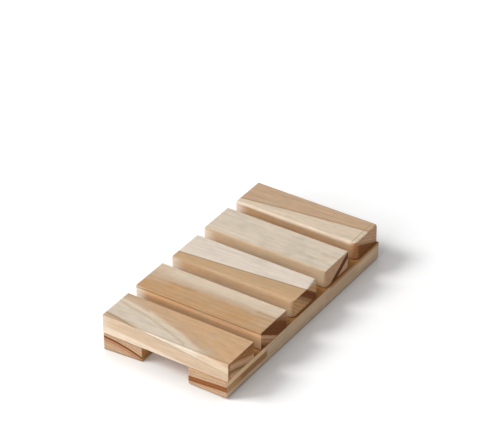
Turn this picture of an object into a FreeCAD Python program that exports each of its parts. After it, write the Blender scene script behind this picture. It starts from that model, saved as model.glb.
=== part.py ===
import FreeCAD, Part
import math
import os

from FreeCAD import Vector

# A slatted wooden soap dish: cross slats screwed from below to two base rails.
# Millimetres. X runs along the rails, Y along the slats and Z up.
# The origin is on the table, under the middle of the dish.

# Slats, each sawn by eye to a width of its own, counted from -X to +X
SLAT_THICKNESS = 10.0
SLAT_GAP = 7.0
SLAT_1_WIDTH = 21.5
SLAT_2_WIDTH = 22.0
SLAT_3_WIDTH = 22.0
SLAT_4_WIDTH = 21.0
SLAT_5_WIDTH = 20.6

# How far each slat reaches to the front and to the rear of the dish's middle line
SLAT_1_FRONT = 35.9
SLAT_1_REAR = 34.9
SLAT_2_FRONT = 35.2
SLAT_2_REAR = 35.6
SLAT_3_FRONT = 34.3
SLAT_3_REAR = 35.0
SLAT_4_FRONT = 34.0
SLAT_4_REAR = 35.9
SLAT_5_FRONT = 34.2
SLAT_5_REAR = 35.7

# Rails, which run just past the outer slats and lie under the slats' ends
RAIL_WIDTH = 21.5
RAIL_THICKNESS = 10.0
RAIL_OVERRUN = 0.1
RAIL_SPACING = 48.8

# The rear rail's -X end: how far it stops short, and how much further at its inner side
REAR_RAIL_SHORT = 0.6
REAR_RAIL_SKEW = 1.5

# Radii left by sanding: a light pass on every edge, and what was worked further by hand
EDGE_EASE = 0.4
BLUNTED_CORNER = 2.2
SOFT_EDGE = 1.3
ROUNDED_CORNER = 3.0
FOOT_CORNER = 2.0

# Corner that the sanding block took off the third slat's top at its front end
SANDED_CORNER_WIDTH = 11.0
SANDED_CORNER_LENGTH = 2.0
SANDED_CORNER_DROP = 1.5

# Countersunk wood screws, one at each crossing of a slat and a rail
SCREW_DIAMETER = 3.0
SCREW_HEAD_DIAMETER = 5.8
SCREW_HEAD_RIM = 0.3
SCREW_HEAD_SINK = 0.4
SCREW_BITE = 6.0
SCREW_TIP_LENGTH = 2.6
SCREW_TIP_DIAMETER = 0.4
SCREW_HOLE_CLEARANCE = 0.1
PILOT_END_CLEARANCE = 0.6
DRIVE_RECESS_LENGTH = 3.2
DRIVE_RECESS_WIDTH = 0.8
DRIVE_RECESS_DEPTH = 1.1

# Sizes that follow from those
SLAT_WIDTHS = (SLAT_1_WIDTH, SLAT_2_WIDTH, SLAT_3_WIDTH, SLAT_4_WIDTH, SLAT_5_WIDTH)
SLAT_FRONTS = (SLAT_1_FRONT, SLAT_2_FRONT, SLAT_3_FRONT, SLAT_4_FRONT, SLAT_5_FRONT)
SLAT_REARS = (SLAT_1_REAR, SLAT_2_REAR, SLAT_3_REAR, SLAT_4_REAR, SLAT_5_REAR)
SLAT_ROW_LENGTH = sum(SLAT_WIDTHS) + SLAT_GAP * (len(SLAT_WIDTHS) - 1)
RAIL_LENGTH = SLAT_ROW_LENGTH + 2 * RAIL_OVERRUN
SCREW_LENGTH = RAIL_THICKNESS - SCREW_HEAD_SINK + SCREW_BITE
UP = Vector(0, 0, 1)

# Edges that differ from the light pass, by the two faces that meet there
WORKED_EDGES = {
    "slat_1": {"-x+y": SOFT_EDGE, "-y-z": SOFT_EDGE},
    "slat_3": {"-x-y": BLUNTED_CORNER, "+x-y": BLUNTED_CORNER, "-y-z": SOFT_EDGE},
    "slat_4": {"-x+z": SOFT_EDGE, "-x-y": SOFT_EDGE},
    "slat_5": {"-x+z": SOFT_EDGE, "-x-y": ROUNDED_CORNER},
    "front_rail": {"+x-z": FOOT_CORNER, "-x-z": SOFT_EDGE, "-y-z": SOFT_EDGE},
    "rear_rail": {"-x+y": SOFT_EDGE},
}

# Upright edges that stand back along X, where an end is sawn out of square
SKEWED_EDGES = {"rear_rail": {"-x-y": REAR_RAIL_SKEW}}


def rounded_face(corners, radii):
    """Flat face of a four-sided outline whose corners are rounded, each to its own radius."""
    edges = []
    count = len(corners)
    for number, corner in enumerate(corners):
        before = (corners[number - 1] - corner).normalize()
        after = (corners[(number + 1) % count] - corner).normalize()
        radius = radii[number]
        next_radius = radii[(number + 1) % count]
        arc_start = corner + before * radius
        arc_end = corner + after * radius
        half_angle = before.getAngle(after) / 2
        arc_depth = radius * (1 - math.sin(half_angle)) / math.cos(half_angle)
        arc_middle = corner + (before + after).normalize() * arc_depth
        next_start = corners[(number + 1) % count] - after * next_radius
        edges.append(Part.Arc(arc_start, arc_middle, arc_end).toShape())
        edges.append(Part.LineSegment(arc_end, next_start).toShape())
    return Part.Face(Part.Wire(edges))


def eased_bar(along, low, high, worked, skewed):
    """Bar between two corners that carries the four edges parallel to one axis."""
    first, second = [name for name in "xyz" if name != along]
    corners = []
    radii = []
    for first_side, second_side in (("-", "-"), ("+", "-"), ("+", "+"), ("-", "+")):
        corner = Vector(low)
        setattr(corner, first, getattr(low if first_side == "-" else high, first))
        setattr(corner, second, getattr(low if second_side == "-" else high, second))
        edge = first_side + first + second_side + second
        corners.append(corner + Vector(skewed.get(edge, 0), 0, 0))
        radii.append(worked.get(edge, EDGE_EASE))
    run = Vector()
    setattr(run, along, getattr(high, along) - getattr(low, along))
    return rounded_face(corners, radii).extrude(run)


def batten(name, low, high):
    """Sawn batten between two corners, sanded along all of its twelve edges."""
    worked = WORKED_EDGES.get(name, {})
    skewed = SKEWED_EDGES.get(name, {})
    along_x, along_y, along_z = [eased_bar(along, low, high, worked, skewed) for along in "xyz"]
    return along_x.common(along_y).common(along_z).removeSplitter()


def sanded_corner(slat, corner):
    """The slat less the top corner at its front end that hand sanding took off."""
    across = corner - Vector(SANDED_CORNER_WIDTH, 0, 0)
    along = corner + Vector(0, SANDED_CORNER_LENGTH, 0)
    below = corner - Vector(0, 0, SANDED_CORNER_DROP)
    outward = (below - across).cross(along - across).normalize()
    facet = Part.Face(Part.makePolygon([across, along, below, across]))
    return slat.cut(facet.extrude(outward * SANDED_CORNER_DROP))


def turned(profile, foot):
    """Solid turned about an upright axis from (radius, height) points that end on it."""
    points = [Vector(foot.x + radius, foot.y, foot.z + height) for radius, height in profile]
    outline = Part.makePolygon(points + [points[0]])
    return Part.Face(outline).revolve(foot, UP, 360)


def wood_screw(foot):
    """Countersunk screw that points up, with its head sunk above the foot of its hole."""
    shank = SCREW_DIAMETER / 2
    head = SCREW_HEAD_DIAMETER / 2
    head_top = SCREW_HEAD_SINK
    cone_start = head_top + SCREW_HEAD_RIM
    tip = head_top + SCREW_LENGTH
    body = turned(
        [
            (0, head_top),
            (head, head_top),
            (head, cone_start),
            (shank, cone_start + head - shank),
            (shank, tip - SCREW_TIP_LENGTH),
            (SCREW_TIP_DIAMETER / 2, tip),
            (0, tip),
        ],
        foot,
    )
    slot_corner = foot + Vector(-DRIVE_RECESS_LENGTH / 2, -DRIVE_RECESS_WIDTH / 2, head_top)
    slot = Part.makeBox(DRIVE_RECESS_LENGTH, DRIVE_RECESS_WIDTH, DRIVE_RECESS_DEPTH, slot_corner)
    cross_slot = slot.copy()
    cross_slot.rotate(foot, UP, 90)
    return body.cut([slot, cross_slot])


def screw_hole(foot):
    """Countersunk clearance hole through a rail, whose cone is the seat of the head."""
    wall = SCREW_DIAMETER / 2 + SCREW_HOLE_CLEARANCE
    mouth = SCREW_HEAD_DIAMETER / 2 + SCREW_HOLE_CLEARANCE
    cone_start = SCREW_HEAD_SINK + SCREW_HEAD_RIM - SCREW_HOLE_CLEARANCE
    return turned(
        [
            (0, 0),
            (mouth, 0),
            (mouth, cone_start),
            (wall, cone_start + mouth - wall),
            (wall, RAIL_THICKNESS),
            (0, RAIL_THICKNESS),
        ],
        foot,
    )


def pilot_hole(foot):
    """Blind hole in the underside of a slat that the end of the screw fills."""
    radius = SCREW_DIAMETER / 2 + SCREW_HOLE_CLEARANCE
    mouth = foot + Vector(0, 0, RAIL_THICKNESS)
    return Part.makeCylinder(radius, SCREW_BITE + PILOT_END_CLEARANCE, mouth)


def slat_starts():
    """The -X side of each slat, set out from the first one."""
    starts = [-SLAT_ROW_LENGTH / 2]
    for width in SLAT_WIDTHS[:-1]:
        starts.append(starts[-1] + width + SLAT_GAP)
    return starts


slat_centres = [start + width / 2 for start, width in zip(slat_starts(), SLAT_WIDTHS)]
rail_centres = {"front_rail": -RAIL_SPACING / 2, "rear_rail": RAIL_SPACING / 2}
nodes = {}

for number, start in enumerate(slat_starts(), 1):
    name = f"slat_{number}"
    width = SLAT_WIDTHS[number - 1]
    low = Vector(start, -SLAT_FRONTS[number - 1], RAIL_THICKNESS)
    high = Vector(start + width, SLAT_REARS[number - 1], RAIL_THICKNESS + SLAT_THICKNESS)
    slat = batten(name, low, high)
    if name == "slat_3":
        slat = sanded_corner(slat, Vector(high.x, low.y, high.z))
    feet = [Vector(start + width / 2, centre_y, 0) for centre_y in rail_centres.values()]
    nodes[name] = slat.cut([pilot_hole(foot) for foot in feet])

for name, centre_y in rail_centres.items():
    short = REAR_RAIL_SHORT if name == "rear_rail" else 0
    low = Vector(-RAIL_LENGTH / 2 + short, centre_y - RAIL_WIDTH / 2, 0)
    high = Vector(RAIL_LENGTH / 2, centre_y + RAIL_WIDTH / 2, RAIL_THICKNESS)
    feet = [Vector(centre_x, centre_y, 0) for centre_x in slat_centres]
    nodes[name] = batten(name, low, high).cut([screw_hole(foot) for foot in feet])
    nodes[f"{name}_screws"] = Part.makeCompound([wood_screw(foot) for foot in feet])

os.makedirs("parts", exist_ok=True)
for name, shape in nodes.items():
    shape.exportStep(f"parts/{name}.step")
    print(name, len(shape.Solids), "solids,", "valid" if shape.isValid() else "not valid", round(shape.Volume, 2))
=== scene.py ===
import math

import bpy
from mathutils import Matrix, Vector


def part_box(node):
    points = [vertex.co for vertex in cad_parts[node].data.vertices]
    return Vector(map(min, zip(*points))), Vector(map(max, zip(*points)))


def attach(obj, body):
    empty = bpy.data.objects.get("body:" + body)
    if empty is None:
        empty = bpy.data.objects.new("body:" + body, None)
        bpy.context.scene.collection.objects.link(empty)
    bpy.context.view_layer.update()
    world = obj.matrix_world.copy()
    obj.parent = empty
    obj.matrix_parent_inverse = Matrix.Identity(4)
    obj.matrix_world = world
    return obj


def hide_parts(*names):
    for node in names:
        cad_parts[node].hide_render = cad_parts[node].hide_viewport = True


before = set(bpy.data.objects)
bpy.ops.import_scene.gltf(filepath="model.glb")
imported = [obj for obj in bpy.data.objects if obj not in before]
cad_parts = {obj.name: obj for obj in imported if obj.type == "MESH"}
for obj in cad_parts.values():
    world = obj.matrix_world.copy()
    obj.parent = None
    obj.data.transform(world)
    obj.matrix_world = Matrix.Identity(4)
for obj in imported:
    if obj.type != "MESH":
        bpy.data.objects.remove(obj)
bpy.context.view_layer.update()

# Base rails: two sawn hardwood battens that lie along X, one under each end of the slats.
# Their edges are sanded by hand, and each is drilled and countersunk from below for five screws.

MM = 0.001
EDGE_EASE = 0.4 * MM
SOFT_EDGE = 1.3 * MM
FOOT_CORNER = 2.0 * MM
REAR_RAIL_SKEW = 1.5 * MM
SKEW_START = 0.9
RAIL_HOLE = 3.2 * MM
COUNTERSINK = 6.0 * MM
COUNTERSINK_WALL = 0.6 * MM
DRILL_OVERSHOOT = 1.0 * MM
EDGE_NAMES = [
    "-x-y", "-x+y", "+x-y", "+x+y",
    "-y-z", "-y+z", "+y-z", "+y+z",
    "-x-z", "-x+z", "+x-z", "+x+z",
]

# How unevenly the sanding block went over a face, and over an edge as shares of its radius
SURFACE_DIP = 0.1 * MM
DIP_SCALE = 60.0
LEAST_EASE = 0.7
EASE_SPREAD = 0.6

# How finely the pieces are meshed, with extra cells for each metre of half a side
LEAST_CELLS = 24
EXTRA_CELLS = 1200
TURNED_FACETS = 32

# Angle in radians past which an edge is shaded sharp, and the least length to divide by
SHARP_ANGLE = 0.9
LEAST_LENGTH = 1e-9


class Wire:
    """One output of a node tree. Arithmetic on it adds the Math nodes that work it out."""

    def __init__(self, socket):
        self.socket = socket
        self.tree = socket.id_data

    @classmethod
    def node(cls, tree, kind, settings=None, inputs=None, output=0):
        """Any node: its settings are set first, then the values or links of its sockets."""
        made = tree.nodes.new(kind)
        for name, value in (settings or {}).items():
            if name == "stops":
                while len(made.color_ramp.elements) < len(value):
                    made.color_ramp.elements.new(1.0)
                for element, (place, shade) in zip(made.color_ramp.elements, value):
                    element.position = place
                    element.color = shade
            else:
                setattr(made, name, value)
        for name, value in (inputs or {}).items():
            socket = next(each for each in made.inputs if name in (each.identifier, each.name))
            for given in value if isinstance(value, list) else [value]:
                if isinstance(given, Wire):
                    tree.links.new(given.socket, socket)
                else:
                    socket.default_value = given
        return cls(made.outputs[output])

    def math(self, operation, *values):
        inputs = dict(zip(("Value", "Value_001"), values))
        return Wire.node(self.tree, "ShaderNodeMath", {"operation": operation}, inputs)

    def __add__(self, other):
        return self.math("ADD", self, other)

    def __sub__(self, other):
        return self.math("SUBTRACT", self, other)

    def __rsub__(self, other):
        return self.math("SUBTRACT", other, self)

    def __mul__(self, other):
        return self.math("MULTIPLY", self, other)

    def __truediv__(self, other):
        return self.math("DIVIDE", self, other)

    def __abs__(self):
        return self.math("ABSOLUTE", self)

    __radd__ = __add__
    __rmul__ = __mul__

    def at_least(self, other):
        return self.math("MAXIMUM", self, other)

    def at_most(self, other):
        return self.math("MINIMUM", self, other)

    def step(self, low, high):
        """Smooth step from 0 at one value to 1 at another."""
        settings = {"interpolation_type": "SMOOTHSTEP"}
        inputs = {"Value": self, "From Min": low, "From Max": high}
        return Wire.node(self.tree, "ShaderNodeMapRange", settings, inputs)

    def xyz(self):
        """The three components of a vector."""
        first = Wire.node(self.tree, "ShaderNodeSeparateXYZ", inputs={"Vector": self})
        return [Wire(socket) for socket in first.socket.node.outputs]

    def mix(self, other, share):
        """This colour mixed with another one by a share."""
        inputs = {"Factor_Float": share, "A_Color": self, "B_Color": other}
        return Wire.node(self.tree, "ShaderNodeMix", {"data_type": "RGBA"}, inputs, output=2)


def vector_of(x, y, z):
    """A vector from three parts, at least one of them a wire."""
    tree = next(part.tree for part in (x, y, z) if isinstance(part, Wire))
    return Wire.node(tree, "ShaderNodeCombineXYZ", inputs={"X": x, "Y": y, "Z": z})


def turned(tree, profile):
    """Closed solid turned about Z from the (radius, height) points of its side."""
    steps = len(profile) - 1
    rod_inputs = {"Vertices": TURNED_FACETS, "Side Segments": steps, "Radius": 1.0, "Depth": 2.0}
    rod = Wire.node(tree, "GeometryNodeMeshCylinder", inputs=rod_inputs)
    x, y, z = Wire.node(tree, "GeometryNodeInputPosition").xyz()
    ring = (z + 1) * (steps / 2)
    radius, height = profile[0]
    for number in range(steps):
        past = ring.math("GREATER_THAN", ring, number + 0.5)
        radius = past * (profile[number + 1][0] - profile[number][0]) + radius
        height = past * (profile[number + 1][1] - profile[number][1]) + height
    inputs = {"Geometry": rod, "Position": vector_of(x * radius, y * radius, height)}
    return Wire.node(tree, "GeometryNodeSetPosition", inputs=inputs)


def cut(base, cutter):
    """The first mesh less the second one."""
    settings = {"operation": "DIFFERENCE", "solver": "EXACT"}
    inputs = {"Mesh 1": base, "Mesh 2": [cutter]}
    return Wire.node(base.tree, "GeometryNodeMeshBoolean", settings, inputs)


def rounded(first, second, first_half, second_half, radius):
    """Two coordinates on a box after the edge between their faces is rounded."""
    first_over = (abs(first) - first_half + radius).at_least(0)
    second_over = (abs(second) - second_half + radius).at_least(0)
    square = first_over * first_over + second_over * second_over
    pull = first_over.at_least(second_over) / square.math("SQRT", square).at_least(LEAST_LENGTH)
    first_size = abs(first).at_most(first_half - radius) + first_over * pull
    second_size = abs(second).at_most(second_half - radius) + second_over * pull
    return first.math("SIGN", first) * first_size, second.math("SIGN", second) * second_size


def new_tree(name, geometry_in, sizes, vectors=()):
    """Geometry tree with named inputs, and its inputs as wires by name."""
    tree = bpy.data.node_groups.new(name, "GeometryNodeTree")
    tree.interface.new_socket(geometry_in, in_out="INPUT", socket_type="NodeSocketGeometry")
    for vector in vectors:
        tree.interface.new_socket(vector, in_out="INPUT", socket_type="NodeSocketVector")
    for size in sizes:
        tree.interface.new_socket(size, in_out="INPUT", socket_type="NodeSocketFloat")
    tree.interface.new_socket("Finish", in_out="INPUT", socket_type="NodeSocketMaterial")
    tree.interface.new_socket("Piece", in_out="OUTPUT", socket_type="NodeSocketGeometry")
    group = tree.nodes.new("NodeGroupInput")
    return tree, {socket.name: Wire(socket) for socket in group.outputs if socket.name}


def close_tree(shape, finish):
    """Smooth shading between sharp edges, one real mesh and its material end the tree."""
    tree = shape.tree
    angle = Wire.node(tree, "GeometryNodeInputMeshEdgeAngle")
    sharp = angle.math("GREATER_THAN", angle, SHARP_ANGLE)
    smooth = Wire.node(tree, "GeometryNodeSetShadeSmooth", inputs={"Geometry": shape})
    edge_inputs = {"Geometry": smooth, "Selection": sharp, "Shade Smooth": False}
    shaded = Wire.node(tree, "GeometryNodeSetShadeSmooth", {"domain": "EDGE"}, edge_inputs)
    real = Wire.node(tree, "GeometryNodeRealizeInstances", inputs={"Geometry": shaded})
    finish_inputs = {"Geometry": real, "Material": finish}
    dressed = Wire.node(tree, "GeometryNodeSetMaterial", inputs=finish_inputs)
    end = tree.nodes.new("NodeGroupOutput")
    tree.links.new(dressed.socket, end.inputs[0])
    return tree


def batten_tree():
    """Tree of a sawn batten between two corners, sanded unevenly and drilled from below."""
    drill_names = ["Hole diameter", "Mouth diameter", "Mouth depth", "Hole depth"]
    corner_names = ["Sanded width", "Sanded length", "Sanded drop"]
    names = EDGE_NAMES + corner_names + ["End skew", "Surface dip", "Seed"] + drill_names
    tree, given = new_tree("sanded_batten", "Hole feet", names, ["Low corner", "High corner"])

    low = given["Low corner"].xyz()
    high = given["High corner"].xyz()
    half = [(top - bottom) / 2 for bottom, top in zip(low, high)]
    centre = [(top + bottom) / 2 for bottom, top in zip(low, high)]

    # Cells crowd towards the faces, so that a small rounding still has enough of them
    counts = {f"Vertices {axis}": size * EXTRA_CELLS + LEAST_CELLS for axis, size in zip("XYZ", half)}
    block = Wire.node(tree, "GeometryNodeMeshCube", inputs={"Size": (2.0, 2.0, 2.0), **counts})
    unit = Wire.node(tree, "GeometryNodeInputPosition").xyz()
    x, y, z = [part.math("SINE", part * (math.pi / 2)) * size for part, size in zip(unit, half)]

    # The sanding block took more off some stretches of an edge or a face than off others
    dip_settings = {"noise_dimensions": "4D"}
    dip_inputs = {"Vector": vector_of(x, y, z), "W": given["Seed"], "Scale": DIP_SCALE, "Detail": 2.0}
    dips = Wire.node(tree, "ShaderNodeTexNoise", dip_settings, dip_inputs, "Color").xyz()

    def edge_radius(first_name, second_name, first, second):
        """Radius of the edge of four that a place on the block is nearest to."""
        first_low = first.math("LESS_THAN", first, 0)
        second_low = second.math("LESS_THAN", second, 0)
        radius = 0
        for first_side, first_share in (("-", first_low), ("+", 1 - first_low)):
            for second_side, second_share in (("-", second_low), ("+", 1 - second_low)):
                edge = given[first_side + first_name + second_side + second_name]
                radius = edge * first_share * second_share + radius
        return radius * (dips[0] * EASE_SPREAD + LEAST_EASE)

    x, y = rounded(x, y, half[0], half[1], edge_radius("x", "y", x, y))
    y, z = rounded(y, z, half[1], half[2], edge_radius("y", "z", y, z))
    x, z = rounded(x, z, half[0], half[2], edge_radius("x", "z", x, z))
    x, y, z = [
        part * (1 - given["Surface dip"] * dip / size)
        for part, dip, size in zip((x, y, z), dips, half)
    ]

    # The last tenth at one end may be out of square, and one top corner may be sanded off
    end_share = (half[0] - x) / (half[0] * 2)
    side_share = (half[1] - y) / (half[1] * 2)
    x = x + given["End skew"] * side_share * end_share.step(SKEW_START, 1.0)
    from_corner = (half[0] - x) / given["Sanded width"] + (half[1] + y) / given["Sanded length"]
    z = z.at_most(half[2] - given["Sanded drop"] * (1 - from_corner).at_least(0))
    place = vector_of(x + centre[0], y + centre[1], z + centre[2])
    shape = Wire.node(tree, "GeometryNodeSetPosition", inputs={"Geometry": block, "Position": place})

    wall = given["Hole diameter"] / 2
    mouth = given["Mouth diameter"] / 2
    depth = given["Mouth depth"]
    side = [
        (mouth, -DRILL_OVERSHOOT),
        (mouth, depth),
        (wall, depth + mouth - wall),
        (wall, given["Hole depth"]),
    ]
    row_inputs = {"Points": given["Hole feet"], "Instance": turned(tree, side)}
    row = Wire.node(tree, "GeometryNodeInstanceOnPoints", inputs=row_inputs)
    drills = Wire.node(tree, "GeometryNodeRealizeInstances", inputs={"Geometry": row})
    return close_tree(cut(shape, drills), given["Finish"])


def made_piece(name, tree, feet, values):
    """Plain mesh object that a tree makes from its feet and the values of its inputs."""
    points = bpy.data.meshes.new(name + "_feet")
    points.from_pydata(feet, [], [])
    piece = bpy.data.objects.new(name, points)
    bpy.context.scene.collection.objects.link(piece)
    modifier = piece.modifiers.new("shape", "NODES")
    modifier.node_group = tree
    for item in tree.interface.items_tree:
        if item.in_out == "INPUT" and item.name in values:
            modifier[item.identifier] = values[item.name]
    shown = piece.evaluated_get(bpy.context.evaluated_depsgraph_get())
    mesh = bpy.data.meshes.new_from_object(shown)
    piece.modifiers.clear()
    piece.data = mesh
    mesh.name = name
    return piece


def emptied_tree(owner):
    """Empty shader tree of a material or of the world."""
    owner.use_nodes = True
    owner.node_tree.nodes.clear()
    return owner.node_tree


def close_shader(shader, kind="ShaderNodeOutputMaterial"):
    """Output node that a shader tree ends in."""
    end = shader.tree.nodes.new(kind)
    shader.tree.links.new(shader.socket, end.inputs["Surface"])


def tone(red, green, blue):
    """Opaque colour in linear light."""
    return (red, green, blue, 1.0)


CREAM = tone(0.76, 0.66, 0.56)
TAN = tone(0.55, 0.365, 0.205)
GREY_GREEN = tone(0.50, 0.45, 0.34)
RAIL_PALE = tone(0.90, 0.63, 0.37)
RAIL_TAN = tone(0.70, 0.505, 0.34)
# Dark streak in the grain, and also painted shade on the front rail's inner side
RAIL_STREAK_AND_SHADE = tone(0.52, 0.285, 0.125)
# Painted shade on the rails' tops between the slats and on the rear rail's inner side
RAIL_PAINTED_SHADE = tone(0.44, 0.205, 0.06)
# Painted contact shadow along the rails' feet
FOOT_CONTACT_SHADOW = tone(0.25, 0.20, 0.14)
RAIL_END_PALE = tone(0.49, 0.32, 0.20)
RAIL_END_GLOW = tone(0.41, 0.21, 0.115)
RAIL_END_BROWN = tone(0.25, 0.09, 0.03)
# Dark line in the rear rail's end grain, and also a painted contact shadow along the top of its ends
RAIL_END_LINE_AND_SHADE = tone(0.18, 0.065, 0.02)

# Marks in the wood: patch in millimetres across and along the grain, detail, and seed
WOOD_MARKS = {
    "wander": (12, 40, 2.0, 0.0),
    "side_tone": (3, 20, 2.0, 23.0),
    "year": (4, 30, 2.0, 3.0),
    "fibre": (0.45, 18, 4.0, 7.0),
    "streak": (1.6, 60, 2.0, 29.0),
    "vessel": (0.16, 5, 1.0, 11.0),
    "mottle": (6, 14, 2.0, 17.0),
    "speck": (2.2, 5, 2.0, 37.0),
}

# The marks' noise: its roughness and mean, and the values where pores fade and blotches start
MARK_ROUGHNESS = 0.6
NOISE_MEAN = 0.5
PORE_EDGES = (0.26, 0.36)
MOTTLE_START = 0.52

# How far a year's ring strays in years, and how much of the wander a face line follows
YEAR_SPREAD = 0.8
FACE_LINE_WANDER = 0.3

# Sizes in the wood, in millimetres: rings, fades of lines, and how deep the side tone and wear go
YEAR_WIDTH = 1.7
RAMP_REACH = 24.0
LINE_FADE = 0.2
LINE_END_FADE = 1.0
SIDE_TONE_START = 0.5
SIDE_TONE_SPREAD = 2.0
# Painted light on the sides: where it starts and where it is full, in millimetres from the rear end
REAR_LIGHT_START = 8.0
REAR_LIGHT_FULL = 1.0
WORN_DEPTHS = (0.1, 0.9)
WORN_SPREAD = 1.2

# How squarely a face has to look along an axis to show as a cut end, a side or a face with a face line
CUT_END_SLOPES = (0.4, 0.7)
SIDE_SLOPES = (0.5, 0.8)
FACE_LINE_SLOPES = (0.4, 0.8)

# How much the marks change the wood's brightness and tint
PLAIN_BRIGHTNESS = 1.04
END_BRIGHTNESS = 0.06
FIBRE_CONTRAST = 0.38
STREAK_CONTRAST = 0.35
SPECK_CONTRAST = 0.25
RING_SHADE = 0.06
END_RING_SHADE = 0.3
PORE_SHADE = 0.12
MOTTLE_GAIN = 4.0
WORN_TINT = {"Value": 1.1, "Saturation": 0.95}

# Surface of bare sanded wood
BARE_GLOSS = 0.1
BARE_ROUGHNESS = 0.56
FIBRE_ROUGHNESS = 0.2
PORE_ROUGHNESS = 0.12
END_ROUGHNESS = 0.1
WORN_POLISH = 0.08
GRAIN_DEPTH = 0.15 * MM
GRAIN_STRENGTH = 0.3
FIBRE_HEIGHT = 0.5
PORE_DEPTH = 0.6
RING_DEPTH = 0.25


def batten_wood(
    name, node, grain, turn, bands, end_bands, end_turn=None, lean=0.0, sweep=0.0, bow=0.0,
    waver=0.4, lines=(), side_tone=None, face_lines=(), rear_light=0.0, mottling=0.3, wear=0.25, seed=0.0,
):
    """Solid wood cut from one plank. Growth is a distance in millimetres across the rings.

    The rings face turn degrees up from the across axis, lean along the grain, curve by sweep
    along it and by bow across it, and waver by some millimetres. Bands are (growth, tone)
    pairs. End bands are those of the cut ends, where the rings may face end_turn degrees.
    Lines follow the rings: (growth, width, from and to along the grain, tone, strength).
    Face lines cross a face: (axis, place on it, width, axis that the face looks along, tone,
    strength); some are real marks, and some are painted shade: contact shadows, shaded tops
    and inner sides, darker rounded edges. The side tone comes in inside the -X face: (tone,
    depths below the top between which it comes in, thickness); it is partly the wood's own
    tone and partly painted shade lower down on faces in the slots. Rear light is painted
    light: how cream the sides turn towards the rear end. Mottling is how blotched the wood
    is, and wear how pale its edges are.
    """
    low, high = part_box(node)
    middle = (low + high) / 2 / MM
    half = (high - low) / 2 / MM
    material = bpy.data.materials.new(name)
    tree = emptied_tree(material)

    place = Wire.node(tree, "ShaderNodeTexCoord", output="Object")
    local_inputs = {"Vector": place, "Location": tuple(-middle), "Scale": (1 / MM, 1 / MM, 1 / MM)}
    x, y, up = Wire.node(tree, "ShaderNodeMapping", inputs=local_inputs).xyz()
    across, along = (x, y) if grain == "y" else (y, x)
    normal = Wire.node(tree, "ShaderNodeTexCoord", output="Normal").xyz()
    cut_end = abs(normal[1] if grain == "y" else normal[0]).step(*CUT_END_SLOPES)

    def noise(mark):
        """Noise with the patches of one of the marks in the wood."""
        across_size, along_size, detail, mark_seed = WOOD_MARKS[mark]
        inputs = {
            "Vector": vector_of(across / across_size, along / along_size, up / across_size),
            "W": seed + mark_seed,
            "Scale": 1.0,
            "Detail": detail,
            "Roughness": MARK_ROUGHNESS,
        }
        return Wire.node(tree, "ShaderNodeTexNoise", {"noise_dimensions": "4D"}, inputs)

    def ramp(distance, shades):
        """Tone at a distance across the rings, from (distance, tone) pairs."""
        span = 2 * RAMP_REACH
        stops = [((place_mm + RAMP_REACH) / span, shade) for place_mm, shade in shades]
        inputs = {"Fac": (distance + RAMP_REACH) / span}
        return Wire.node(tree, "ShaderNodeValToRGB", {"stops": stops}, inputs)

    def tinted(base, **changes):
        """A colour with its value or its saturation changed."""
        return Wire.node(tree, "ShaderNodeHueSaturation", inputs={**changes, "Color": base})

    def across_rings(angle):
        """Distance across flat rings that face an angle."""
        return across * math.cos(math.radians(angle)) + up * math.sin(math.radians(angle))

    wander = (noise("wander") - NOISE_MEAN) * (waver * 2)
    sideways = across_rings(turn + 90)
    bend = sideways * sideways * bow + along * along * sweep + along * lean
    growth = across_rings(turn) + bend + wander
    end_growth = growth if end_turn is None else across_rings(end_turn) + wander

    # Tones that follow the rings, and those of single faces
    colour = ramp(growth, bands)
    for distance, width, from_along, to_along, shade, strength in lines:
        inside = 1 - abs(growth - distance).step(width / 2 - LINE_FADE, width / 2 + LINE_FADE)
        begun = along.step(from_along - LINE_END_FADE, from_along + LINE_END_FADE)
        ended = along.step(to_along - LINE_END_FADE, to_along + LINE_END_FADE)
        colour = colour.mix(shade, inside * begun * (1 - ended) * strength)
    # Tone inside the -X face below a depth: partly the wood's own, partly painted shade lower down in
    # the slots between slats
    if side_tone:
        shade, from_depth, to_depth, thickness = side_tone
        inward = x + half[0] + (noise("side_tone") - NOISE_MEAN) * SIDE_TONE_SPREAD
        side_tone_share = 1 - inward.step(SIDE_TONE_START, thickness)
        colour = colour.mix(shade, side_tone_share * (half[2] - up).step(from_depth, to_depth))
    # Painted light: the sides turn cream towards the rear end, where light reaches in between the slats
    sides = abs(normal[0]).step(*SIDE_SLOPES)
    rear_lit = along.step(half[1] - REAR_LIGHT_START, half[1] - REAR_LIGHT_FULL)
    colour = colour.mix(CREAM, sides * rear_lit * rear_light)
    colour = colour.mix(ramp(end_growth, end_bands), cut_end)
    # Lines across single faces: real marks, and painted shade such as contact shadows, shaded tops and
    # darker edges
    for axis, place_mm, width, face, shade, strength in face_lines:
        off_line = abs((x, y, up)[axis] - place_mm + wander * FACE_LINE_WANDER)
        inside = 1 - off_line.step(0.0, width)
        colour = colour.mix(shade, inside * abs(normal[face]).step(*FACE_LINE_SLOPES) * strength)

    # Yearly rings, fibres, pores and slow changes of tint
    ring_growth = growth + (end_growth - growth) * cut_end
    year = ring_growth / YEAR_WIDTH + noise("year") * YEAR_SPREAD
    late = year.math("FRACT", year)
    ring = late * late * late
    fibre = noise("fibre") - NOISE_MEAN
    streak = noise("streak") - NOISE_MEAN
    speck = noise("speck") - NOISE_MEAN
    mottle = noise("mottle")
    pore = 1 - noise("vessel").step(*PORE_EDGES)
    blotch = (mottle - MOTTLE_START).at_least(0) * (1 - cut_end)
    colour = colour.mix(GREY_GREEN, blotch * (mottling * MOTTLE_GAIN))
    brightness = PLAIN_BRIGHTNESS + cut_end * END_BRIGHTNESS
    brightness = brightness + fibre * FIBRE_CONTRAST + streak * STREAK_CONTRAST + speck * SPECK_CONTRAST
    brightness = brightness - ring * (cut_end * END_RING_SHADE + RING_SHADE) - pore * PORE_SHADE
    colour = tinted(colour, Value=brightness)

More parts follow.
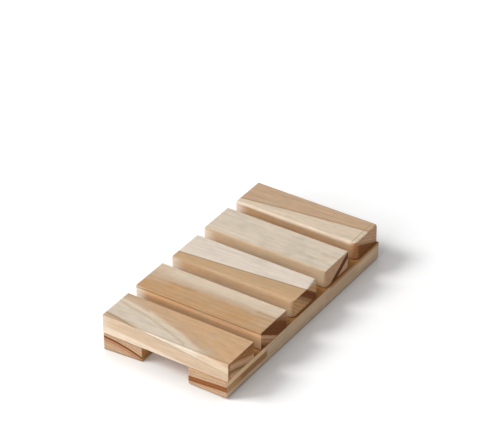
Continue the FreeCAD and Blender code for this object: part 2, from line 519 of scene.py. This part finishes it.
    # Sanding leaves the edges a little paler and smoother
    depths = [size - abs(part) for part, size in zip((x, y, up), half)]
    nearer = depths[0].at_most(depths[1])
    edge_depth = nearer.at_least(depths[0].at_least(depths[1]).at_most(depths[2]))
    worn = 1 - (edge_depth + (mottle - NOISE_MEAN) * WORN_SPREAD).step(*WORN_DEPTHS)
    colour = colour.mix(tinted(colour, **WORN_TINT), worn * wear)

    roughness = BARE_ROUGHNESS + cut_end * END_ROUGHNESS - worn * WORN_POLISH
    height = fibre * FIBRE_HEIGHT - pore * PORE_DEPTH - ring * RING_DEPTH
    bump_inputs = {"Strength": GRAIN_STRENGTH, "Distance": GRAIN_DEPTH, "Height": height}
    shader_inputs = {
        "Base Color": colour,
        "Roughness": roughness + fibre * FIBRE_ROUGHNESS + pore * PORE_ROUGHNESS,
        "Normal": Wire.node(tree, "ShaderNodeBump", inputs=bump_inputs),
        "Specular IOR Level": BARE_GLOSS,
    }
    close_shader(Wire.node(tree, "ShaderNodeBsdfPrincipled", inputs=shader_inputs))
    return material


RAIL_WOODS = {
    "front_rail": {
        "turn": 85.7,
        "waver": 0.25,
        "bands": [(-5, RAIL_TAN), (5, RAIL_TAN)],
        "end_bands": [(-2.1, RAIL_END_PALE), (-1.6, RAIL_END_BROWN), (0.9, RAIL_END_BROWN),
                      (1.4, RAIL_END_PALE)],
        # The amber line near the top covers the top face towards +X: painted shade there between the
        # slats. The other lines are streaks in the grain.
        "lines": [(3.4, 3.6, -80, -36, RAIL_PALE, 1.0), (-0.3, 3.6, -80, -34, RAIL_STREAK_AND_SHADE, 0.95),
                  (-0.3, 3.0, -56, -34, RAIL_END_BROWN, 0.4), (4.2, 2.4, 22, 80, RAIL_PAINTED_SHADE, 0.8),
                  (0.2, 3.0, 18, 46, TAN, 0.45), (0.2, 3.0, 48, 64, RAIL_PALE, 0.4)],
        # Painted shade on the whole top face, seen between the slats, and on the inner side, and
        # painted contact shadow lines along the foot
        "face_lines": [(2, 5.0, 0.8, 2, RAIL_PAINTED_SHADE, 0.95), (2, -4.3, 1.2, 1, FOOT_CONTACT_SHADOW, 0.9),
                    (2, -4.5, 1.0, 0, FOOT_CONTACT_SHADOW, 1.0), (1, 10.75, 0.8, 1, RAIL_STREAK_AND_SHADE, 0.7)],
        "seed": 1.0,
    },
    "rear_rail": {
        "turn": 104.5,
        "bow": 0.0073,
        "waver": 0.2,
        "bands": [(0.3, RAIL_TAN), (0.7, RAIL_STREAK_AND_SHADE), (1.1, RAIL_TAN)],
        "end_bands": [(-2.6, RAIL_END_PALE), (-1.0, RAIL_END_GLOW), (0.0, RAIL_END_GLOW),
                      (0.2, RAIL_END_LINE_AND_SHADE), (1.1, RAIL_END_LINE_AND_SHADE), (1.5, RAIL_END_PALE)],
        # Painted shade on the top face, seen between the slats, and on the inner side, and painted
        # contact shadow along the top and the foot of the ends
        "face_lines": [(2, 5.0, 0.8, 2, RAIL_PAINTED_SHADE, 0.3), (2, -4.6, 0.9, 0, FOOT_CONTACT_SHADOW, 1.0),
                    (2, 5.0, 0.8, 0, RAIL_END_LINE_AND_SHADE, 0.6), (1, -10.75, 0.8, 1, RAIL_PAINTED_SHADE, 0.9)],
        "seed": 2.0,
    },
}
RAIL_WORKED_EDGES = {
    "front_rail": {"+x-z": FOOT_CORNER, "-x-z": SOFT_EDGE, "-y-z": SOFT_EDGE},
    "rear_rail": {"-x+y": SOFT_EDGE, "End skew": REAR_RAIL_SKEW},
}
SLAT_NAMES = ["slat_1", "slat_2", "slat_3", "slat_4", "slat_5"]


def middle_of(node):
    """Middle of a CAD node's box."""
    low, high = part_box(node)
    return (low + high) / 2


sanded_batten = batten_tree()
for name, wood in RAIL_WOODS.items():
    low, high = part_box(name)
    feet = [(middle_of(slat).x, middle_of(name).y, low.z) for slat in SLAT_NAMES]
    values = dict.fromkeys(EDGE_NAMES, EDGE_EASE)
    values.update(RAIL_WORKED_EDGES[name])
    values.update({
        "Low corner": tuple(low),
        "High corner": tuple(high),
        "Surface dip": SURFACE_DIP,
        "Seed": wood["seed"],
        "Hole diameter": RAIL_HOLE,
        "Mouth diameter": COUNTERSINK,
        "Mouth depth": COUNTERSINK_WALL,
        "Hole depth": high.z - low.z + DRILL_OVERSHOOT,
        "Finish": batten_wood(name + "_wood", name, "x", **wood),
    })
    rail = made_piece("sanded_" + name, sanded_batten, feet, values)
    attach(rail, "root")
    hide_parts(name)

# Cross slats: five short battens ripped by eye from one plank, so that no two are as wide.
# They lie across the rails with their best face up, and each end and corner was sanded by hand.

BLUNTED_CORNER = 2.2 * MM
ROUNDED_CORNER = 3.0 * MM
SANDED_CORNER_WIDTH = 11.0 * MM
SANDED_CORNER_LENGTH = 2.0 * MM
SANDED_CORNER_DROP = 1.5 * MM
PILOT_HOLE = 3.2 * MM
PILOT_DEPTH = 6.6 * MM
BURR_RELIEF = 3.6 * MM
BURR_DEPTH = 0.05 * MM

SLAT_WORKED_EDGES = {
    "slat_1": {"-x+y": SOFT_EDGE, "-y-z": SOFT_EDGE},
    "slat_2": {},
    "slat_3": {"-x-y": BLUNTED_CORNER, "+x-y": BLUNTED_CORNER, "-y-z": SOFT_EDGE, "-x+z": SOFT_EDGE},
    "slat_4": {"-x+z": SOFT_EDGE, "-x-y": SOFT_EDGE},
    "slat_5": {"-x+z": SOFT_EDGE, "-x-y": ROUNDED_CORNER, "+x-y": SOFT_EDGE, "-y+z": SOFT_EDGE},
}
GREY_CREAM = tone(0.69, 0.59, 0.47)
WARM_CREAM = tone(0.72, 0.585, 0.445)
BEIGE = tone(0.58, 0.43, 0.30)
AMBER = tone(0.77, 0.46, 0.24)
HONEY = tone(0.61, 0.39, 0.22)
GOLDEN = tone(0.54, 0.325, 0.165)
PINK_TAN = tone(0.56, 0.38, 0.245)
RING_BROWN = tone(0.40, 0.25, 0.13)
SIDE_BEIGE = tone(0.60, 0.43, 0.275)
SIDE_BROWN = tone(0.53, 0.33, 0.185)
# Painted shade for the rounded front top edges that face the lamps
EDGE_PAINTED_SHADE = tone(0.40, 0.28, 0.175)
# Painted contact shadow at the foot of the slats
CONTACT_SHADOW_BROWN = tone(0.13, 0.06, 0.018)
END_PALE = tone(0.60, 0.36, 0.21)
END_GOLD = tone(0.57, 0.325, 0.15)
END_TAN = tone(0.44, 0.235, 0.115)
END_RUST = tone(0.50, 0.22, 0.09)
END_BROWN = tone(0.38, 0.16, 0.055)
END_OLIVE = tone(0.30, 0.165, 0.075)
END_UMBER = tone(0.215, 0.075, 0.018)
END_DARK = tone(0.175, 0.055, 0.01)
END_BLACK = tone(0.12, 0.04, 0.01)
# Painted contact shadow: a dark line along the bottom edge of each slat's sides and ends
CONTACT_SHADOW_LINES = [(2, -5.0, 1.0, 0, CONTACT_SHADOW_BROWN, 0.9), (2, -5.0, 0.9, 1, CONTACT_SHADOW_BROWN, 0.9)]

# The side tones are partly painted shade lower down in the slots, the rear light is painted light on
# the sides, and the edge and foot lines are painted shade
SLAT_WOODS = {
    "slat_1": {
        "turn": 74.3,
        "lean": -0.091,
        "sweep": 0.00076,
        "waver": 0.6,
        "bands": [(-6.0, WARM_CREAM), (-5.5, BEIGE), (0.3, BEIGE), (0.55, RING_BROWN),
                  (0.85, GREY_CREAM), (3.4, GREY_CREAM), (3.9, WARM_CREAM), (4.2, WARM_CREAM),
                  (4.7, PINK_TAN), (7.0, HONEY)],
        "end_turn": 74,
        "end_bands": [(-4.2, END_PALE), (-3.3, END_OLIVE), (-2.0, END_OLIVE), (-1.4, END_PALE),
                      (0.8, END_PALE), (1.7, END_BROWN), (3.4, END_BROWN), (12, END_DARK)],
        "lines": [(3.3, 0.4, -10, 40, RING_BROWN, 0.35), (4.3, 0.4, 18, 40, RING_BROWN, 0.4),
                  (2.6, 3.4, -40, -18, SIDE_BEIGE, 0.5)],
        "face_lines": [(0, -9.6, 0.5, 2, RING_BROWN, 0.45), (2, -4.4, 1.6, 1, END_PALE, 0.6),
                    (0, -10.4, 2.2, 1, END_BROWN, 0.8)],
        "rear_light": 0.3,
        "mottling": 0.5,
        "wear": 0.9,
        "seed": 11.0,
    },
    "slat_2": {
        "turn": 60,
        "waver": 1.0,
        "bands": [(-2.5, AMBER), (-1.5, GOLDEN), (3.6, GOLDEN), (5.4, BEIGE), (7.2, WARM_CREAM)],
        "end_bands": [(-7.4, END_DARK), (-5.6, END_TAN), (-3.9, END_TAN), (-3.3, END_PALE),
                      (-2.4, END_PALE), (-2.1, END_DARK), (4.0, END_DARK), (7.0, END_TAN)],
        "lines": [(5.4, 0.8, -40, -24, RING_BROWN, 0.5), (4.2, 0.8, 8, 24, RING_BROWN, 0.4),
                  (5.5, 7.0, 22, 40, BEIGE, 0.2), (5.5, 7.0, 26, 40, BEIGE, 0.25),
                  (5.5, 7.0, 30, 40, BEIGE, 0.3), (2.3, 2.6, -40, -26, BEIGE, 0.2),
                  (2.3, 2.6, -40, -30, BEIGE, 0.25)],
        "side_tone": (SIDE_BROWN, 2.0, 4.5, 1.2),
        "face_lines": [(2, 4.2, 0.8, 0, END_OLIVE, 0.8), (0, -10.5, 0.5, 2, RING_BROWN, 0.6),
                    *CONTACT_SHADOW_LINES],
        "rear_light": 0.9,
        "seed": 12.0,
    },
    "slat_3": {
        "turn": 52,
        "lean": 0.0577,
        "waver": 0.15,
        "bands": [(-3, HONEY), (-1, TAN), (1.9, TAN), (2.2, RING_BROWN), (2.4, RING_BROWN),
                  (2.65, CREAM)],
        "end_bands": [(-5.5, END_GOLD), (-2.9, END_TAN), (-0.6, END_DARK), (2.1, END_DARK),
                      (2.6, END_GOLD)],
        "side_tone": (SIDE_BEIGE, 2.0, 6.0, 1.2),
        # Painted shade along the rounded front top edge, and a painted contact shadow along the foot
        "face_lines": [(2, 4.5, 1.2, 0, EDGE_PAINTED_SHADE, 0.5), (0, -10.6, 0.9, 2, EDGE_PAINTED_SHADE, 0.4),
                    *CONTACT_SHADOW_LINES],
        "rear_light": 0.8,
        "seed": 13.0,
    },
    "slat_4": {
        "turn": 120,
        "lean": 0.02,
        "waver": 0.2,
        "bands": [(-5, GREY_CREAM), (5, GREY_CREAM)],
        "end_bands": [(-5.2, END_PALE), (-4.6, END_BLACK), (-2.0, END_BLACK), (-1.5, END_PALE)],
        "lines": [(4.4, 3.0, -17, -7, GREY_GREEN, 0.25), (5.6, 1.0, -24.5, -20.5, GREY_GREEN, 0.4),
                  (3.0, 1.2, -33, -25, PINK_TAN, 0.35)],
        "side_tone": (SIDE_BEIGE, -1.0, 1.0, 2.6),
        # Painted shade along the rounded front top edge, and a painted contact shadow along the foot
        "face_lines": [(2, 4.4, 1.2, 0, EDGE_PAINTED_SHADE, 0.6), (0, -10.1, 0.9, 2, EDGE_PAINTED_SHADE, 0.3),
                    *CONTACT_SHADOW_LINES],
        "rear_light": 0.8,
        "mottling": 0.6,
        "seed": 14.0,
    },
    "slat_5": {
        "turn": 105,
        "lean": -0.0332,
        "waver": 0.35,
        "bands": [(5.0, PINK_TAN), (5.25, RING_BROWN), (5.45, WARM_CREAM)],
        "end_turn": 67,
        "end_bands": [(-24, END_BROWN), (-4, END_UMBER), (-1.0, END_UMBER), (0.6, END_PALE)],
        "side_tone": (SIDE_BROWN, 0.3, 3.0, 1.6),
        "face_lines": [(1, -32.0, 0.35, 2, RING_BROWN, 0.9), (0, -9.3, 2.6, 1, END_RUST, 0.8),
                    (1, -34.0, 4.0, 0, END_RUST, 0.85), *CONTACT_SHADOW_LINES],
        "rear_light": 0.8,
        "seed": 15.0,
    },
}

for name, wood in SLAT_WOODS.items():
    low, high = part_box(name)
    feet = [(middle_of(name).x, middle_of(rail).y, low.z) for rail in RAIL_WOODS]
    values = dict.fromkeys(EDGE_NAMES, EDGE_EASE)
    values.update(SLAT_WORKED_EDGES[name])
    values.update({
        "Low corner": tuple(low),
        "High corner": tuple(high),
        "Sanded width": SANDED_CORNER_WIDTH,
        "Sanded length": SANDED_CORNER_LENGTH,
        "Sanded drop": SANDED_CORNER_DROP if name == "slat_3" else 0.0,
        "Surface dip": SURFACE_DIP,
        "Seed": wood["seed"],
        "Hole diameter": PILOT_HOLE,
        "Mouth diameter": BURR_RELIEF,
        "Mouth depth": BURR_DEPTH,
        "Hole depth": PILOT_DEPTH,
        "Finish": batten_wood(name + "_wood", name, "y", **wood),
    })
    slat = made_piece("sanded_" + name, sanded_batten, feet, values)
    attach(slat, "root")
    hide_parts(name)

# Screws: ten countersunk wood screws of plain steel, driven up through the rails into the slats.
# Each has a cross recess in its head and a rolled thread on the length that bites into the slat.

SCREW_DIAMETER = 3.0 * MM
HEAD_RIM = 0.3 * MM
TIP_LENGTH = 2.6 * MM
TIP_DIAMETER = 0.4 * MM
RECESS_LENGTH = 3.2 * MM
RECESS_WIDTH = 0.8 * MM
RECESS_DEPTH = 1.1 * MM
THREAD_PITCH = 1.35 * MM
THREAD_RIDGE = 0.32 * MM
THREAD_TURNS = 5.5
THREAD_FACETS = 20
RIDGE_SIDES = 4
SPIN_SEED = 4

STEEL = tone(0.56, 0.55, 0.53)
STEEL_BLOOM = tone(0.34, 0.32, 0.29)
STEEL_ROUGHNESS = 0.3
BLOOM_SCALE = 900.0
BLOOM_EDGES = (0.45, 0.75)
BLOOM_SHARE = 0.6
BLOOM_ROUGHNESS = 0.2
SCRATCH_SCALE = 6000.0
SCRATCH_DEPTH = 0.02 * MM
SCRATCH_STRENGTH = 0.2
SCRATCH_CONTRAST = 0.3
SCRATCH_BRIGHTNESS = 0.85
SCRATCH_ROUGHNESS = 0.1


def joined(meshes):
    """One closed mesh from several that overlap."""
    settings = {"operation": "UNION", "solver": "EXACT"}
    return Wire.node(meshes[0].tree, "GeometryNodeMeshBoolean", settings, {"Mesh 2": meshes})


def screw_tree():
    """Tree of a row of wood screws that stand on their feet, each turned as it was left."""
    names = [
        "Head diameter", "Shank diameter", "Head rim", "Length", "Tip length", "Tip diameter",
        "Recess length", "Recess width", "Recess depth", "Thread pitch", "Thread ridge", "Thread turns",
    ]
    tree, given = new_tree("wood_screws", "Screw feet", names)
    head = given["Head diameter"] / 2
    shank = given["Shank diameter"] / 2
    rim = given["Head rim"]
    tip_start = given["Length"] - given["Tip length"]
    side = [
        (head, 0.0),
        (head, rim),
        (shank, rim + head - shank),
        (shank, tip_start),
        (given["Tip diameter"] / 2, given["Length"]),
    ]
    body = turned(tree, side)

    long_side = given["Recess length"]
    short_side = given["Recess width"]
    deep_side = given["Recess depth"] * 2
    slot_sizes = [
        vector_of(long_side, short_side, deep_side),
        vector_of(short_side, long_side, deep_side),
    ]
    slots = [Wire.node(tree, "GeometryNodeMeshCube", inputs={"Size": size}) for size in slot_sizes]
    recessed = cut(body, joined(slots))

    thread_height = given["Thread pitch"] * given["Thread turns"]
    spiral_inputs = {
        "Resolution": THREAD_FACETS,
        "Rotations": given["Thread turns"],
        "Start Radius": shank,
        "End Radius": shank,
        "Height": thread_height,
    }
    spiral = Wire.node(tree, "GeometryNodeCurveSpiral", inputs=spiral_inputs)
    ridge_inputs = {"Resolution": RIDGE_SIDES, "Radius": given["Thread ridge"]}
    ridge = Wire.node(tree, "GeometryNodeCurvePrimitiveCircle", inputs=ridge_inputs)
    thread_inputs = {"Curve": spiral, "Profile Curve": ridge, "Fill Caps": True}
    thread = Wire.node(tree, "GeometryNodeCurveToMesh", inputs=thread_inputs)
    lift = {"Geometry": thread, "Translation": vector_of(0.0, 0.0, tip_start - thread_height)}
    lifted = Wire.node(tree, "GeometryNodeTransform", inputs=lift)
    screw = joined([recessed, lifted])

    random_inputs = {"Min_001": 0.0, "Max_001": math.pi, "Seed": SPIN_SEED}
    spin = Wire.node(tree, "FunctionNodeRandomValue", {"data_type": "FLOAT"}, random_inputs, output=1)
    euler = {"Euler": vector_of(0.0, 0.0, spin)}
    rotation = Wire.node(tree, "FunctionNodeEulerToRotation", inputs=euler)
    row_inputs = {"Points": given["Screw feet"], "Instance": screw, "Rotation": rotation}
    row = Wire.node(tree, "GeometryNodeInstanceOnPoints", inputs=row_inputs)
    whole = Wire.node(tree, "GeometryNodeRealizeInstances", inputs={"Geometry": row})
    return close_tree(whole, given["Finish"])


def plain_steel():
    """Bright drawn steel with fine scratches and a dull bloom of tarnish."""
    material = bpy.data.materials.new("plain_steel")
    tree = emptied_tree(material)
    place = Wire.node(tree, "ShaderNodeTexCoord", output="Object")
    bloom_inputs = {"Vector": place, "Scale": BLOOM_SCALE, "Detail": 3.0}
    bloom = Wire.node(tree, "ShaderNodeTexNoise", inputs=bloom_inputs).step(*BLOOM_EDGES)
    scratch_inputs = {"Vector": place, "Scale": SCRATCH_SCALE, "Detail": 2.0}
    scratch = Wire.node(tree, "ShaderNodeTexNoise", inputs=scratch_inputs)
    bright_inputs = {"Value": scratch * SCRATCH_CONTRAST + SCRATCH_BRIGHTNESS, "Color": STEEL}
    bright = Wire.node(tree, "ShaderNodeHueSaturation", inputs=bright_inputs)
    bump_inputs = {"Strength": SCRATCH_STRENGTH, "Distance": SCRATCH_DEPTH, "Height": scratch}
    shader_inputs = {
        "Base Color": bright.mix(STEEL_BLOOM, bloom * BLOOM_SHARE),
        "Roughness": STEEL_ROUGHNESS + bloom * BLOOM_ROUGHNESS + scratch * SCRATCH_ROUGHNESS,
        "Metallic": 1.0,
        "Normal": Wire.node(tree, "ShaderNodeBump", inputs=bump_inputs),
    }
    close_shader(Wire.node(tree, "ShaderNodeBsdfPrincipled", inputs=shader_inputs))
    return material


wood_screws = screw_tree()
steel = plain_steel()
for rail_name in RAIL_WOODS:
    name = rail_name + "_screws"
    low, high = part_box(name)
    feet = [(middle_of(slat).x, middle_of(rail_name).y, low.z) for slat in SLAT_NAMES]
    values = {
        "Head diameter": high.y - low.y,
        "Shank diameter": SCREW_DIAMETER,
        "Head rim": HEAD_RIM,
        "Length": high.z - low.z,
        "Tip length": TIP_LENGTH,
        "Tip diameter": TIP_DIAMETER,
        "Recess length": RECESS_LENGTH,
        "Recess width": RECESS_WIDTH,
        "Recess depth": RECESS_DEPTH,
        "Thread pitch": THREAD_PITCH,
        "Thread ridge": THREAD_RIDGE,
        "Thread turns": THREAD_TURNS,
        "Finish": steel,
    }
    screws = made_piece("threaded_" + name, wood_screws, feet, values)
    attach(screws, "root")
    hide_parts(name)

# Studio: a white sweep under the dish, lit by a soft box from behind on the left and a reflector.
# The sweep shows white to the camera and keeps the dish's shadow. Close to the dish a painted
# shadow darkens it, warm under the slats, as in the photograph.

FLOOR_SIZE = 8.0
FLOOR_PAPER = tone(0.9, 0.9, 0.9)
FLOOR_WHITE = tone(1.0, 1.0, 1.0)
FLOOR_SHADOW_UNDER = tone(0.64, 0.535, 0.49)
FLOOR_SHADOW_CLOSE = tone(0.70, 0.69, 0.68)
FLOOR_SHADOW_BESIDE = tone(0.80, 0.795, 0.79)
FLOOR_REACH = 25 * MM
FLOOR_LIFT = 0.11
FAR_LIFT = 0.12
FAR_LIFT_START = 70 * MM
FAR_LIFT_END = 170 * MM
WORLD_LIGHT = 0.28
LAMPS = {
    "soft_box": {"power": 70.0, "size": 1.2, "direction": (-0.6, 0.8, 0.9)},
    "reflector": {"power": 34.0, "size": 2.0, "direction": (-1.0, 0.15, 0.5)},
}
LAMP_DISTANCE = 3.0

# Painted shadow on the sweep: its tone by the share of open space above it
FLOOR_SHADOW_TONES = [(0.25, FLOOR_SHADOW_UNDER), (0.36, FLOOR_SHADOW_CLOSE), (0.6, FLOOR_SHADOW_BESIDE), (0.8, FLOOR_WHITE)]

floor_mesh = bpy.data.meshes.new("floor")
edge = FLOOR_SIZE / 2
floor_corners = [(-edge, -edge, 0), (edge, -edge, 0), (edge, edge, 0), (-edge, edge, 0)]
floor_mesh.from_pydata(floor_corners, [], [(0, 1, 2, 3)])
floor = bpy.data.objects.new("floor", floor_mesh)
bpy.context.scene.collection.objects.link(floor)


def seen_rays(tree):
    """1 for rays from the camera, and for those that metal or glass send on."""
    path = Wire.node(tree, "ShaderNodeLightPath", output="Is Camera Ray")
    rays = path.socket.node.outputs
    return path.at_least(Wire(rays["Is Glossy Ray"])).at_least(Wire(rays["Is Transmission Ray"]))


sweep = bpy.data.materials.new("white_sweep")
sweep_tree = emptied_tree(sweep)
floor_seen = seen_rays(sweep_tree)
open_inputs = {"Distance": FLOOR_REACH}
# Painted shadow: darker, and warm at the darkest, where little open space is above the sweep
open_share = Wire.node(sweep_tree, "ShaderNodeAmbientOcclusion", inputs=open_inputs, output="AO")
seen_shadowed_colour = Wire.node(sweep_tree, "ShaderNodeValToRGB", {"stops": FLOOR_SHADOW_TONES}, {"Fac": open_share})
floor_colour = seen_shadowed_colour.mix(FLOOR_PAPER, 1 - floor_seen)
paper = Wire.node(sweep_tree, "ShaderNodeBsdfDiffuse", inputs={"Color": floor_colour})
floor_place = Wire.node(sweep_tree, "ShaderNodeTexCoord", output="Object")
away_inputs = {"Vector": floor_place}
away = Wire.node(sweep_tree, "ShaderNodeVectorMath", {"operation": "LENGTH"}, away_inputs, "Value")
far_share = away.step(FAR_LIFT_START, FAR_LIFT_END)
lift_strength = floor_seen * (far_share * FAR_LIFT + FLOOR_LIFT)
lift = Wire.node(sweep_tree, "ShaderNodeEmission", inputs={"Strength": lift_strength})
both_inputs = {"Shader": paper, "Shader_001": lift}
close_shader(Wire.node(sweep_tree, "ShaderNodeAddShader", inputs=both_inputs))
floor_mesh.materials.append(sweep)

world = bpy.data.worlds.new("studio")
world_tree = emptied_tree(world)
world_seen = seen_rays(world_tree)
sky_inputs = {"Color": FLOOR_WHITE, "Strength": world_seen + (1 - world_seen) * WORLD_LIGHT}
sky = Wire.node(world_tree, "ShaderNodeBackground", inputs=sky_inputs)
close_shader(sky, "ShaderNodeOutputWorld")
bpy.context.scene.world = world

for lamp_name, given in LAMPS.items():
    direction = Vector(given["direction"]).normalized()
    lamp_data = bpy.data.lights.new(lamp_name, "AREA")
    lamp_data.energy = given["power"]
    lamp_data.shape = "SQUARE"
    lamp_data.size = given["size"]
    lamp = bpy.data.objects.new(lamp_name, lamp_data)
    lamp.location = direction * LAMP_DISTANCE
    lamp.rotation_euler = direction.to_track_quat("Z", "Y").to_euler()
    bpy.context.scene.collection.objects.link(lamp)

# Camera: a long lens that looks down on the dish from its front left, as the photograph does.
# Its place, aim and focal length were fitted to the corners of the slats and rails there.

CAMERA_PLACE = Vector((-778.36, -512.36, 671.50)) * MM
CAMERA_AIM = Vector((66.49, 40.07, 0.0)) * MM
CAMERA_LENS = 171.57
CAMERA_SENSOR = 36.0
NEAREST_SEEN = 0.05
FARTHEST_SEEN = 50.0
camera_data = bpy.data.cameras.new("camera")
camera_data.lens = CAMERA_LENS
camera_data.sensor_width = CAMERA_SENSOR
camera_data.clip_start = NEAREST_SEEN
camera_data.clip_end = FARTHEST_SEEN
camera = bpy.data.objects.new("camera", camera_data)
camera.location = CAMERA_PLACE
camera.rotation_euler = (CAMERA_PLACE - CAMERA_AIM).to_track_quat("Z", "Y").to_euler()
bpy.context.scene.collection.objects.link(camera)
bpy.context.scene.camera = camera
bpy.context.scene.view_settings.view_transform = "Standard"
